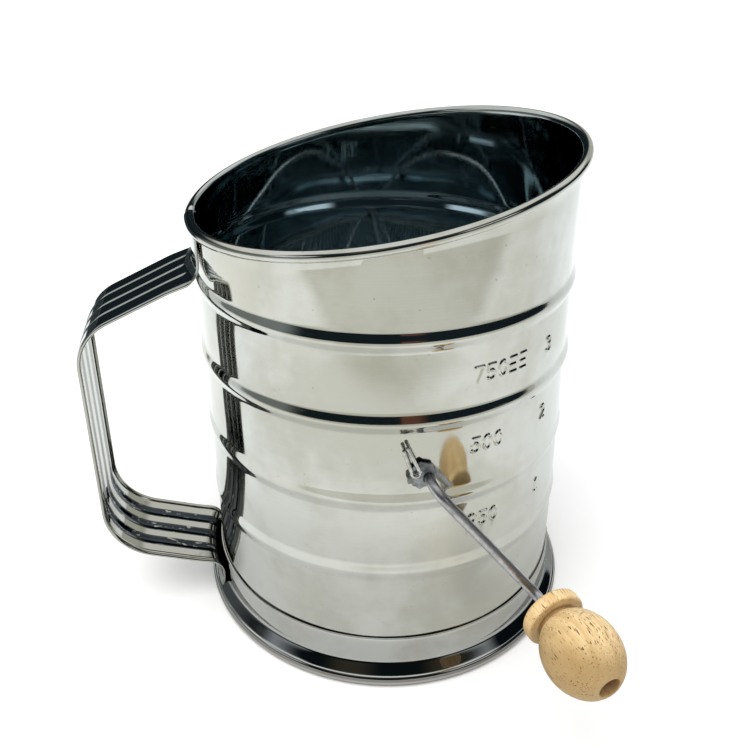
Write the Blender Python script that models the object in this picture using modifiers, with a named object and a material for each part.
"""Three-cup hand-crank flour sifter: a sheet-metal cup with a screen bowl, a wire agitator, a strap
handle and a crank with a turned wooden knob.  Blender 4.5, metres, +Z up.

Frame: the table plane is z = 0, the cup's own axis is vertical, the strap handle is on the -X side,
the crank is on the -Y side and the high side of the slanted rim is towards +X.  The origin is on the
table plane under the middle of the whole object's bounding box, so the cup's axis stands at
(CUP_X, CUP_Y).

Pieces are modelled in millimetres with the cup's axis at x = y = 0.  Those on the axle are modelled
with the axle along Y and then turned to its own direction.
"""

import math

import bmesh
import bpy
from mathutils import Matrix, Vector

MM = 0.001

# ---- driving dimensions, in millimetres; each section adds its own ---------------------------------
CUP_X, CUP_Y = 16.01, 20.60        # where the cup's axis stands in the part's frame
WALL_OUTER_R = 55.0
WALL_SHEET = 0.7
WALL_INNER_R = WALL_OUTER_R - WALL_SHEET
SEGMENTS = 48                      # facets round the cup

# rolled beads of the wall, from the bottom: (height, how far it stands out)
BEADS = ((39.6, 0.6), (63.8, 0.6), (88.3, 1.0), (111.6, 1.0))
CLAMP_Z = BEADS[1][0]              # the screen's brim is held behind this bead

AXLE_Z = 72.1                      # height of the crank axle
AXLE_TURN = math.radians(2.45)     # the axle's turn about the cup's axis, from -Y towards +X
AXLE_CENTRE = Vector((0.0, 0.0, AXLE_Z))
AXLE_FIT_R = 1.7                   # bore of the pieces pushed on to the axle

KNOB_CENTRE = Vector((30.53, -77.88, 41.66))   # middle of the knob's collar
SPINDLE_SPLAY = math.radians(15.8)             # the spindle's lean from -Y towards +X
SPINDLE_DROP = math.radians(4.3)               # and its drop below level
SPINDLE_DIRECTION = Vector((math.sin(SPINDLE_SPLAY) * math.cos(SPINDLE_DROP),
                            -math.cos(SPINDLE_SPLAY) * math.cos(SPINDLE_DROP),
                            -math.sin(SPINDLE_DROP)))
SPINDLE_ROTATION = Vector((0.0, 0.0, 1.0)).rotation_difference(SPINDLE_DIRECTION)

# ---- scene -----------------------------------------------------------------------------------------
for old in list(bpy.data.objects):
    bpy.data.objects.remove(old, do_unlink=True)

PARTS = bpy.data.collections.new("flour_sifter")
CUTTERS = bpy.data.collections.new("flour_sifter_cutters")
for collection in (PARTS, CUTTERS):
    bpy.context.scene.collection.children.link(collection)


def make_axis(name, location, parent=None):
    """An empty at a place in millimetres from its parent."""
    empty = bpy.data.objects.new(name, None)
    empty.parent = parent
    empty.location = Vector(location) * MM
    PARTS.objects.link(empty)
    return empty


CUP_AXIS = make_axis("cup_axis", (CUP_X, CUP_Y, 0.0))
CRANK_AXIS = make_axis("crank_axis", AXLE_CENTRE, CUP_AXIS)
KNOB_AXIS = make_axis("knob_axis", KNOB_CENTRE - AXLE_CENTRE, CRANK_AXIS)
KNOB_AXIS.rotation_mode = "QUATERNION"
KNOB_AXIS.rotation_quaternion = SPINDLE_ROTATION


# ---- materials -------------------------------------------------------------------------------------
def make_material(name, colour, roughness, metallic=1.0):
    material = bpy.data.materials.new(name)
    material.use_nodes = True
    shader = next(n for n in material.node_tree.nodes if n.type == "BSDF_PRINCIPLED")
    shader.inputs["Base Color"].default_value = (*colour, 1.0)
    shader.inputs["Roughness"].default_value = roughness
    shader.inputs["Metallic"].default_value = metallic
    material.diffuse_color = (*colour, 1.0)
    return material


WALL_STEEL = make_material("polished_steel_wall", colour=(0.76, 0.77, 0.75), roughness=0.12)
RING_STEEL = make_material("polished_steel_ring", colour=(0.72, 0.73, 0.72), roughness=0.14)
STRAP_STEEL = make_material("polished_steel_strap", colour=(0.70, 0.71, 0.70), roughness=0.16)
SCREEN_STEEL = make_material("steel_wire_cloth", colour=(0.60, 0.61, 0.61), roughness=0.35)
CLAMP_STEEL = make_material("steel_clamp", colour=(0.66, 0.67, 0.67), roughness=0.25)
WIRE_STEEL = make_material("bright_steel_wire", colour=(0.66, 0.66, 0.67), roughness=0.18)
AGITATOR_STEEL = make_material("agitator_steel", colour=(0.64, 0.65, 0.65), roughness=0.25)
HUB_STEEL = make_material("hub_steel", colour=(0.58, 0.59, 0.60), roughness=0.30)
WASHER_STEEL = make_material("washer_steel", colour=(0.46, 0.48, 0.49), roughness=0.35)
PIN_STEEL = make_material("pin_steel", colour=(0.62, 0.62, 0.60), roughness=0.22)
WOOD = make_material("turned_wood", colour=(0.78, 0.56, 0.32), roughness=0.55, metallic=0.0)


# ---- placing pieces --------------------------------------------------------------------------------
def place(obj, parent, material, smooth_angle=35.0):
    """Link a piece under its parent; edges sharper than smooth_angle stay sharp, None is flat."""
    PARTS.objects.link(obj)
    obj.parent = parent
    obj.data.materials.clear()
    obj.data.materials.append(material)
    if smooth_angle is not None:
        obj.data.shade_smooth()
        obj.data.set_sharp_from_angle(angle=math.radians(smooth_angle))


def place_on_crank(obj, material, smooth_angle=35.0):
    """Place a piece modelled in the cup's frame so that its origin is at the crank axis."""
    obj.data.transform(Matrix.Translation(-AXLE_CENTRE * MM))
    place(obj, CRANK_AXIS, material, smooth_angle)


def place_on_axle(obj, material, smooth_angle=35.0):
    """Place a piece modelled with the axle along Y, turned to the axle's direction."""
    obj.data.transform(Matrix.Rotation(AXLE_TURN, 4, "Z"))
    place_on_crank(obj, material, smooth_angle)


def lay_along_y(obj, y, facing=1.0):
    """Lay a piece modelled about Z on the axle's line; its +Z side faces +Y, or -Y if facing is -1."""
    centre = Vector((0.0, y, AXLE_Z)) * MM
    obj.data.transform(Matrix.Translation(centre)
                       @ Matrix.Rotation(math.radians(-90.0) * facing, 4, "X"))


# ---- making solids ---------------------------------------------------------------------------------
def write_mesh(bm, mesh):
    """Turn the faces outwards and store the bmesh."""
    bmesh.ops.recalc_face_normals(bm, faces=bm.faces)
    bm.to_mesh(mesh)
    bm.free()


def new_solid(name, bm):
    mesh = bpy.data.meshes.new(name)
    write_mesh(bm, mesh)
    return bpy.data.objects.new(name, mesh)


def baked(obj):
    """Replace a linked object by an unlinked one with its modifiers or curve made into a mesh."""
    name = obj.name
    depsgraph = bpy.context.evaluated_depsgraph_get()
    depsgraph.update()
    mesh = bpy.data.meshes.new_from_object(obj.evaluated_get(depsgraph))
    mesh.name = name
    bpy.data.objects.remove(obj, do_unlink=True)
    bm = bmesh.new()
    bm.from_mesh(mesh)
    bmesh.ops.remove_doubles(bm, verts=bm.verts, dist=1e-6)
    write_mesh(bm, mesh)
    return bpy.data.objects.new(name, mesh)


def turned(name, profile, segments):
    """A closed profile of (radius, height) in millimetres, turned about Z."""
    count = len(profile)
    mesh = bpy.data.meshes.new(name)
    mesh.from_pydata([(radius * MM, 0.0, z * MM) for radius, z in profile],
                     [(i, (i + 1) % count) for i in range(count)], [])
    obj = bpy.data.objects.new(name, mesh)
    bpy.context.scene.collection.objects.link(obj)
    screw = obj.modifiers.new("turn", "SCREW")
    screw.axis = "Z"
    screw.angle = 2.0 * math.pi
    screw.steps = segments
    screw.render_steps = segments
    screw.use_merge_vertices = True
    screw.merge_threshold = 0.00001
    return baked(obj)


def add_closed_line(curve, points):
    """Add a closed flat line through (x, y) points in millimetres to a curve."""
    line = curve.splines.new("POLY")
    line.points.add(len(points) - 1)
    for point, (x, y) in zip(line.points, points):
        point.co = (x * MM, y * MM, 0.0, 1.0)
    line.use_cyclic_u = True


def wire(name, points, radius):
    """A round wire with closed ends through points in millimetres."""
    curve = bpy.data.curves.new(name, "CURVE")
    curve.dimensions = "3D"
    curve.bevel_depth = radius * MM
    curve.bevel_resolution = 2
    curve.use_fill_caps = True
    line = curve.splines.new("POLY")
    line.points.add(len(points) - 1)
    for point, (x, y, z) in zip(line.points, points):
        point.co = (x * MM, y * MM, z * MM, 1.0)
    obj = bpy.data.objects.new(name, curve)
    bpy.context.scene.collection.objects.link(obj)
    return baked(obj)


def add_boolean(obj, name, operation, other):
    boolean = obj.modifiers.new(name, "BOOLEAN")
    boolean.operation = operation
    boolean.solver = "EXACT"
    boolean.object = other


def joined(first, second):
    """One solid from two overlapping ones, under the first one's name."""
    for obj in (first, second):
        bpy.context.scene.collection.objects.link(obj)
    add_boolean(first, "join", "UNION", second)
    bpy.context.view_layer.update()
    solid = baked(first)
    bpy.data.objects.remove(second, do_unlink=True)
    return solid


def on_circle(centre, radius, degrees):
    """A profile point on a circle, at an angle from the outward direction."""
    angle = math.radians(degrees)
    return centre[0] + radius * math.cos(angle), centre[1] + radius * math.sin(angle)


def fillet(points, radii, step_degrees):
    """Round the corners of a polyline: each corner becomes an arc of its own radius."""
    points = [Vector(p) for p in points]
    rounded = [points[0]]
    for before, corner, after, radius in zip(points, points[1:], points[2:], radii[1:]):
        to_before = (before - corner).normalized()
        to_after = (after - corner).normalized()
        inside = math.acos(max(-1.0, min(1.0, to_before.dot(to_after))))
        turn = math.pi - inside
        if radius <= 0.0 or turn < 1e-4:
            rounded.append(corner)
            continue
        start = corner + to_before * (radius * math.tan(turn / 2.0))
        centre = corner + (to_before + to_after).normalized() * (radius / math.sin(inside / 2.0))
        spoke = (start - centre).normalized()
        onward = (-to_before - spoke * (-to_before).dot(spoke)).normalized()
        steps = max(2, round(math.degrees(turn) / step_degrees))
        for k in range(steps + 1):
            angle = turn * k / steps
            rounded.append(centre + (spoke * math.cos(angle) + onward * math.sin(angle)) * radius)
    rounded.append(points[-1])
    return rounded


# ---- cup wall: straight tube, four rolled beads, slanted top with an outward curl ------------------
WALL_BOTTOM = 4.9                  # lower edge of the wall, inside the base ring
BEAD_HALF = 2.8                    # half of a bead's height
BEAD_STEPS = (-1.0, -0.5, 0.0, 0.5, 1.0)   # profile points of a bead, in half heights
RIM_Z = 138.1                      # height of the curl's centre, at the cup's axis
RIM_CURL_R = 1.5
RIM_SLOPE = 0.172                  # rise of the rim towards +X
SLANT_FROM = 116.0                 # the wall is level below this height
SLANT_FULL = RIM_Z - RIM_CURL_R - 0.2      # and fully slanted above this one, just below the curl
HOLE_R = 1.8                       # axle holes in the wall
HOLE_CUTTER_LENGTH = 130.0


def wall_profile():
    stations = [(0.0, WALL_BOTTOM)]        # (how far the wall stands out, height)
    for centre, out in BEADS:
        stations += [(out * math.cos(math.pi * step / 2.0) ** 2, centre + step * BEAD_HALF)
                     for step in BEAD_STEPS]
    stations.append((0.0, SLANT_FROM))
    outer = [(WALL_OUTER_R + out, z) for out, z in stations]
    inner = [(WALL_INNER_R + out, z) for out, z in stations]
    # from the inner wall over the top and down the outside, back to the wall's outer face
    curl_centre = (WALL_INNER_R + RIM_CURL_R, RIM_Z)
    curl = [on_circle(curl_centre, RIM_CURL_R, 180.0 - 30.0 * k) for k in range(11)]
    return outer[::-1] + inner + curl


def slant_top(mesh):
    for vert in mesh.vertices:
        share = (vert.co.z / MM - SLANT_FROM) / (SLANT_FULL - SLANT_FROM)
        vert.co.z += RIM_SLOPE * vert.co.x * min(1.0, max(0.0, share))


def build_bore_cutter():
    """A bar along the axle, right through the cup."""
    bm = bmesh.new()
    bmesh.ops.create_cone(bm, cap_ends=True, cap_tris=False, segments=20, radius1=HOLE_R * MM,
                          radius2=HOLE_R * MM, depth=HOLE_CUTTER_LENGTH * MM,
                          matrix=Matrix.Translation(AXLE_CENTRE * MM)
                          @ Matrix.Rotation(AXLE_TURN, 4, "Z")
                          @ Matrix.Rotation(math.radians(90.0), 4, "X"))
    cutter = new_solid("axle_bore_cutter", bm)
    cutter.hide_render = True
    cutter.display_type = "WIRE"
    cutter.parent = CUP_AXIS
    CUTTERS.objects.link(cutter)
    return cutter


def build_body_shell():
    shell = turned("body_shell", wall_profile(), SEGMENTS)
    slant_top(shell.data)
    place(shell, CUP_AXIS, WALL_STEEL)
    add_boolean(shell, "axle_holes", "DIFFERENCE", build_bore_cutter())


# ---- base ring: a sleeve round the foot of the wall, a tight flare and a rolled foot ---------------
RING_INNER_R = WALL_OUTER_R + 0.2  # with a gap to the wall
RING_OUTER_R = RING_INNER_R + 0.5
RING_TOP = 15.4                    # upper edge of the sleeve
FOOT_R = 1.45                      # radius of the rolled foot
FOOT_CENTRE = (57.85, 1.3)         # radius and height of the rolled foot's centre
# the flare on each face: (how far out from the sleeve, height)
FLARE_OUTSIDE = ((0.0, 6.7), (0.3, 5.5), (1.0, 3.9))
FLARE_INSIDE = ((1.15, 2.5), (0.7, 3.9), (0.2, 5.3), (0.0, 6.6))


def build_base_ring():
    foot_x, foot_z = FOOT_CENTRE
    flat_half = math.sqrt(FOOT_R ** 2 - foot_z ** 2)     # the foot is cut flat at the table
    profile = [(RING_OUTER_R, RING_TOP)]
    profile += [(RING_OUTER_R + out, z) for out, z in FLARE_OUTSIDE]
    profile += [on_circle(FOOT_CENTRE, FOOT_R, 115.0 - 30.0 * k) for k in range(6)]
    profile += [(foot_x + flat_half, 0.0), (foot_x - flat_half, 0.0)]
    profile += [on_circle(FOOT_CENTRE, FOOT_R, degrees) for degrees in (-150.0, 178.0)]
    profile += [(RING_INNER_R + out, z) for out, z in FLARE_INSIDE]
    profile.append((RING_INNER_R, RING_TOP))
    place(turned("base_ring", profile, SEGMENTS), CUP_AXIS, RING_STEEL)


# ---- screen bowl: part of a sphere centred on the axle, with a flat brim ---------------------------
SCREEN_R = 51.5                    # mid radius of the bowl
SCREEN_HALF_T = 0.3                # half of its thickness
SCREEN_BRIM_R = 53.4
SCREEN_SEGMENTS = 36
SCREEN_ARC_STEPS = 8


def bowl_arc(radius, top):
    """Points on a circle about the axle's middle, from the brim down to the lowest point."""
    start = math.acos((AXLE_Z - top) / radius)
    angles = [start * (1.0 - k / SCREEN_ARC_STEPS) for k in range(SCREEN_ARC_STEPS + 1)]
    return [(radius * math.sin(angle), AXLE_Z - radius * math.cos(angle)) for angle in angles]


def build_screen_bowl():
    brim_low, brim_high = CLAMP_Z - SCREEN_HALF_T, CLAMP_Z + SCREEN_HALF_T
    profile = ([(SCREEN_BRIM_R, brim_high), (SCREEN_BRIM_R, brim_low)]
               + bowl_arc(SCREEN_R + SCREEN_HALF_T, brim_low)
               + bowl_arc(SCREEN_R - SCREEN_HALF_T, brim_high)[::-1])
    bm = bmesh.new()
    rings = []                     # a point on the axis is a ring of one vertex
    for radius, z in profile:
        count = SCREEN_SEGMENTS if radius > 1e-6 else 1
        angles = [2.0 * math.pi * k / SCREEN_SEGMENTS for k in range(count)]
        rings.append([bm.verts.new((radius * MM * math.cos(angle),
                                    radius * MM * math.sin(angle), z * MM))
                      for angle in angles])
    for ring, following in zip(rings, rings[1:] + rings[:1]):
        if len(ring) == 1 and len(following) == 1:
            continue
        for k in range(SCREEN_SEGMENTS):
            n = (k + 1) % SCREEN_SEGMENTS
            if len(following) == 1:
                bm.faces.new((ring[k], ring[n], following[0]))
            elif len(ring) == 1:
                bm.faces.new((ring[0], following[n], following[k]))
            else:
                bm.faces.new((ring[k], ring[n], following[n], following[k]))
    place(new_solid("screen_bowl", bm), CUP_AXIS, SCREEN_STEEL)


# ---- clamp ring: a channel that grips the screen's brim and sits in the groove behind a bead -------
CLAMP_HALF = 1.3                   # half of the channel's height
CLAMP_LEG_T = 0.7
CLAMP_INNER_R = 51.6               # the legs' open ends
CLAMP_WEB_R = 53.7                 # bottom of the channel


def build_clamp_ring():
    slot_half = CLAMP_HALF - CLAMP_LEG_T
    lower = [(WALL_INNER_R, -CLAMP_HALF), (CLAMP_INNER_R, -CLAMP_HALF),
             (CLAMP_INNER_R, -slot_half), (CLAMP_WEB_R, -slot_half)]
    upper = [(radius, -z) for radius, z in reversed(lower)]
    profile = [(radius, CLAMP_Z + z) for radius, z in upper[-1:] + lower + upper[:-1]]
    place(turned("screen_clamp_ring", profile, SEGMENTS), CUP_AXIS, CLAMP_STEEL)


# ---- strap handle: a ribbed strip bent to a C, its two ends curved to the wall ---------------------
STRAP_HALF = 14.25                 # half of the strap's width
STRAP_T = 0.8
EDGE_WIDTH, EDGE_HEIGHT = 1.35, 0.3        # turned edges
RIBS_Y = (-7.0, 0.0, 7.0)
RIB_HALF, RIB_HEIGHT = 0.8, 0.35
# the strap's outer face in the XZ plane, from the top: (x, z, fillet radius)
STRAP_PATH = ((-56.2, 126.2, 0.0), (-56.2, 114.7, 6.0), (-90.9, 98.9, 16.0), (-90.7, 23.4, 19.0),
              (-57.1, 12.97, 5.0), (-57.1, 6.4, 0.0), (-57.9, 4.2, 0.0))
WRAP_FULL_R = 57.2                 # nearer the cup's axis than this the strap follows the wall
WRAP_FADE = 7.0                    # and it is flat this much farther out


def strap_section():
    """Places across the strap as (y, height of the ribs and turned edges)."""
    edge = [(STRAP_HALF, EDGE_HEIGHT), (STRAP_HALF - EDGE_WIDTH, 0.0)]
    ribs = []
    for centre in RIBS_Y:
        ribs += [(centre - RIB_HALF, 0.0), (centre, RIB_HEIGHT), (centre + RIB_HALF, 0.0)]
    return [(-y, height) for y, height in edge] + ribs + edge[::-1]


def build_handle():
    section = strap_section()
    path = fillet([(x, 0.0, z) for x, z, _ in STRAP_PATH],
                  [radius for _, _, radius in STRAP_PATH], step_degrees=12.0)
    bm = bmesh.new()
    loops = []
    for i, point in enumerate(path):
        along = (path[min(len(path) - 1, i + 1)] - path[max(0, i - 1)]).normalized()
        outward = Vector((along.z, 0.0, -along.x))       # out of the C
        wrap_r = -point.x
        on_wall = min(1.0, max(0.0, 1.0 - (wrap_r - WRAP_FULL_R) / WRAP_FADE))
        outer, inner = [], []
        for y, height in section:
            pull = on_wall * (wrap_r - math.sqrt(wrap_r ** 2 - y ** 2))
            base = Vector((point.x + pull, y, point.z))
            raised = height * (1.0 - on_wall)
            outer.append(bm.verts.new((base + outward * raised) * MM))
            inner.append(bm.verts.new((base + outward * (raised - STRAP_T)) * MM))
        loops.append(outer + inner[::-1])
    count = len(loops[0])
    for loop, following in zip(loops, loops[1:]):
        for k in range(count):
            n = (k + 1) % count
            bm.faces.new((loop[k], loop[n], following[n], following[k]))
    for end in (loops[0], loops[-1]):
        for k in range(len(section) - 1):
            bm.faces.new((end[k], end[k + 1], end[count - 2 - k], end[count - 1 - k]))
    place(new_solid("handle", bm), CUP_AXIS, STRAP_STEEL, smooth_angle=40.0)


# ---- crank: one bent wire, axle, arm and spindle, with an upset head on the spindle's end ----------
CRANK_WIRE_R = 1.4
AXLE_FAR_END = 59.6                # the axle's free end, behind the far push nut
AXLE_BEND = 61.9                   # how far out the wire turns from axle to arm
AXLE_BEND_R = 5.8
ARM_END = (28.4, -70.2, 42.4)      # where the arm turns into the spindle
ARM_END_BEND_R = 4.5
SPINDLE_LENGTH = 18.0              # from the middle of the knob's collar
# (radius, distance along the spindle from the middle of the knob's collar)
SPINDLE_HEAD_PROFILE = ((0.4, 18.3), (1.7, 18.05), (2.2, 17.6), (2.2, 17.2), (1.9, 17.1),
                        (0.4, 17.1))


def build_crank():
    axle_out = Vector((math.sin(AXLE_TURN), -math.cos(AXLE_TURN), 0.0))
    corners = (AXLE_CENTRE - axle_out * AXLE_FAR_END, AXLE_CENTRE + axle_out * AXLE_BEND,
               ARM_END, KNOB_CENTRE + SPINDLE_DIRECTION * SPINDLE_LENGTH)
    path = fillet(corners, (0.0, AXLE_BEND_R, ARM_END_BEND_R, 0.0), step_degrees=15.0)
    bar = wire("crank_wire", path, CRANK_WIRE_R)
    head = turned("spindle_head", SPINDLE_HEAD_PROFILE, 12)
    head.data.transform(Matrix.Translation(KNOB_CENTRE * MM)
                        @ SPINDLE_ROTATION.to_matrix().to_4x4())
    place_on_crank(joined(bar, head), WIRE_STEEL)


# ---- star washer: a thin plate with a notched, uneven edge, on the axle outside the wall -----------
STAR_TEETH = 9
STAR_POINTS = STAR_TEETH * 4
STAR_R = 3.95
STAR_NOTCH = 0.14                  # swing of the notches
STAR_UNEVEN = 0.16                 # swing of the three slow waves of the edge
STAR_UNEVEN_PHASE = 2.6
STAR_X, STAR_RISE = -1.75, 0.75    # the plate's middle from the axle
STAR_HALF_T = 0.35
STAR_Y = -55.7
STAR_HOLE_POINTS = 16


def build_star_washer():
    edge = []
    for k in range(STAR_POINTS):
        angle = 2.0 * math.pi * k / STAR_POINTS
        radius = (STAR_R + STAR_NOTCH * math.cos(STAR_TEETH * angle)
                  + STAR_UNEVEN * math.sin(3.0 * angle + STAR_UNEVEN_PHASE))
        edge.append((STAR_X + radius * math.cos(angle), STAR_RISE + radius * math.sin(angle)))
    hole = [on_circle((0.0, 0.0), AXLE_FIT_R, 360.0 * k / STAR_HOLE_POINTS)
            for k in range(STAR_HOLE_POINTS)]
    curve = bpy.data.curves.new("star_washer", "CURVE")
    curve.dimensions = "2D"
    curve.fill_mode = "BOTH"
    curve.extrude = STAR_HALF_T * MM
    add_closed_line(curve, edge)
    add_closed_line(curve, hole)
    obj = bpy.data.objects.new("star_washer", curve)
    bpy.context.scene.collection.objects.link(obj)
    star = baked(obj)
    lay_along_y(star, STAR_Y, facing=-1.0)
    place_on_axle(star, WASHER_STEEL, smooth_angle=None)


# ---- split pin: a bend beside the axle and two legs that run up and in towards the wall ------------
PIN_WIRE_R = 0.48
PIN_EYE_R = 1.1
PIN_EYE = Vector((-3.75, -56.95, AXLE_Z + 2.5))
PIN_LEAN = Vector((-0.35, 0.0, 0.94)).normalized()
PIN_NECK_REACH, PIN_NECK_HALF = 2.4, 0.92  # where the legs start: along the lean, to either side
PIN_TIP_HALF, PIN_TIP_IN = 0.66, 0.75      # where they end: to either side, towards the wall
PIN_LEG_REACHES = (7.5, 7.9)               # the legs on the -X and +X sides


def build_split_pin():
    inward = Vector((0.0, 1.0, 0.0))
    side = PIN_LEAN.cross(inward).normalized()           # towards the leg on the -X side

    def leg(reach, sign):
        return [PIN_EYE + PIN_LEAN * PIN_NECK_REACH + side * (sign * PIN_NECK_HALF),
                PIN_EYE + PIN_LEAN * reach + side * (sign * PIN_TIP_HALF) + inward * PIN_TIP_IN]

    bend = []
    for k in range(9):
        angle = math.radians(60.0 + 240.0 * k / 8.0)
        bend.append(PIN_EYE + (PIN_LEAN * math.cos(angle) + side * math.sin(angle)) * PIN_EYE_R)
    path = leg(PIN_LEG_REACHES[0], 1.0)[::-1] + bend + leg(PIN_LEG_REACHES[1], -1.0)
    place_on_axle(wire("hub_split_pin", path, PIN_WIRE_R), PIN_STEEL)


# ---- far push nut: a small domed washer on the axle's free end -------------------------------------
NUT_Y = 55.4
# (radius, distance out from NUT_Y)
NUT_PROFILE = ((2.3, 1.9), (3.2, 1.6), (4.0, 0.9), (4.2, 0.0), (3.7, 0.0), (3.3, 0.6),
               (AXLE_FIT_R, 0.6), (AXLE_FIT_R, 1.9))


def build_push_nut():
    nut = turned("far_push_nut", NUT_PROFILE, 16)
    lay_along_y(nut, NUT_Y)
    place_on_axle(nut, WASHER_STEEL)


# ---- agitator: two collars on the axle and four bowed wires between them ---------------------------
HUB_R = 4.0
HUB_CHAMFER = 0.4
HUB_INNER_END, HUB_OUTER_END = 47.2, 50.8  # distances of a collar's ends from the axle's middle
SWEEP_R = 49.2                     # radius of the wires' arcs about the middle of the axle
BOW_WIRE_R = 1.0
BOW_COUNT = 4
BOW_STEPS = 18
BOW_FIRST_TURN = 45.0              # turn of the first arc about the axle, in degrees
BOW_END_R = HUB_R + 0.4            # the arcs' ends, from the axle's line


def build_agitator_hub(name, side):
    half = (HUB_OUTER_END - HUB_INNER_END) / 2
    profile = [(HUB_R - HUB_CHAMFER, half), (HUB_R, half - HUB_CHAMFER),
               (HUB_R, -half + HUB_CHAMFER), (HUB_R - HUB_CHAMFER, -half),
               (AXLE_FIT_R, -half), (AXLE_FIT_R, half)]
    hub = turned(name, profile, 16)
    lay_along_y(hub, side * (HUB_INNER_END + HUB_OUTER_END) / 2)
    place_on_axle(hub, HUB_STEEL)


def build_agitator_wire(number):
    turn = math.radians(BOW_FIRST_TURN + 360.0 / BOW_COUNT * number)
    end_angle = math.asin(BOW_END_R / SWEEP_R)
    points = []
    for k in range(BOW_STEPS + 1):
        angle = end_angle + (math.pi - 2.0 * end_angle) * k / BOW_STEPS
        radius = SWEEP_R * math.sin(angle)
        points.append((radius * math.cos(turn), SWEEP_R * math.cos(angle),
                       AXLE_Z + radius * math.sin(turn)))
    place_on_axle(wire(f"agitator_wire_{number + 1}", points, BOW_WIRE_R), AGITATOR_STEEL)


def build_agitator():
    build_agitator_hub("agitator_hub_crank_side", side=-1.0)
    build_agitator_hub("agitator_hub_far_side", side=1.0)
    for number in range(BOW_COUNT):
        build_agitator_wire(number)


# ---- knob: turned in one piece, collar, groove and egg, with a stepped bore ------------------------
# heights are along the spindle from the middle of the collar
COLLAR_R, COLLAR_HALF = 8.2, 1.5
COLLAR_EDGE_IN, COLLAR_EDGE_DOWN = 0.5, 0.6    # chamfer: across the face, down the side
GROOVE_R, GROOVE_HEIGHT = 4.7, 0.5
EGG_R, EGG_LENGTH, EGG_START = 10.0, 20.0, 2.9
EGG_START_COS = 0.84               # cosine of the angle at which the egg's curve starts
EGG_STEPS = 12
EGG_END_R = 3.35
KNOB_BORE_R = 1.75
KNOB_TIP = EGG_START + EGG_LENGTH
COUNTERBORE_R = 2.85
COUNTERBORE_FLOOR = KNOB_TIP - 7.0


def build_knob():
    first = math.acos(EGG_START_COS)
    last = math.pi - math.asin(EGG_END_R / EGG_R)
    egg = []
    for k in range(EGG_STEPS + 1):
        angle = first + (last - first) * k / EGG_STEPS
        share = (math.cos(first) - math.cos(angle)) / (math.cos(first) - math.cos(last))
        egg.append((EGG_R * math.sin(angle), EGG_START + EGG_LENGTH * share))
    face_r = COLLAR_R - COLLAR_EDGE_IN
    side_half = COLLAR_HALF - COLLAR_EDGE_DOWN
    profile = egg[::-1] + [
        (GROOVE_R, COLLAR_HALF + GROOVE_HEIGHT), (GROOVE_R, COLLAR_HALF),
        (face_r, COLLAR_HALF), (COLLAR_R, side_half),
        (COLLAR_R, -side_half), (face_r, -COLLAR_HALF),
        (KNOB_BORE_R, -COLLAR_HALF), (KNOB_BORE_R, COUNTERBORE_FLOOR),
        (COUNTERBORE_R, COUNTERBORE_FLOOR), (COUNTERBORE_R, KNOB_TIP)]
    place(turned("knob", profile, 24), KNOB_AXIS, WOOD, smooth_angle=50.0)


def build_knob_washer():
    """A flat washer just above the floor of the knob's counterbore."""
    outer_r = 2.55
    low, high = COUNTERBORE_FLOOR + 0.3, COUNTERBORE_FLOOR + 0.85
    profile = [(outer_r, high), (outer_r, low), (KNOB_BORE_R, low), (KNOB_BORE_R, high)]
    place(turned("knob_washer", profile, 16), KNOB_AXIS, WASHER_STEEL, smooth_angle=None)


build_body_shell()
build_base_ring()
build_screen_bowl()
build_clamp_ring()
build_handle()
build_crank()
build_star_washer()
build_split_pin()
build_push_nut()
build_agitator()
build_knob()
build_knob_washer()
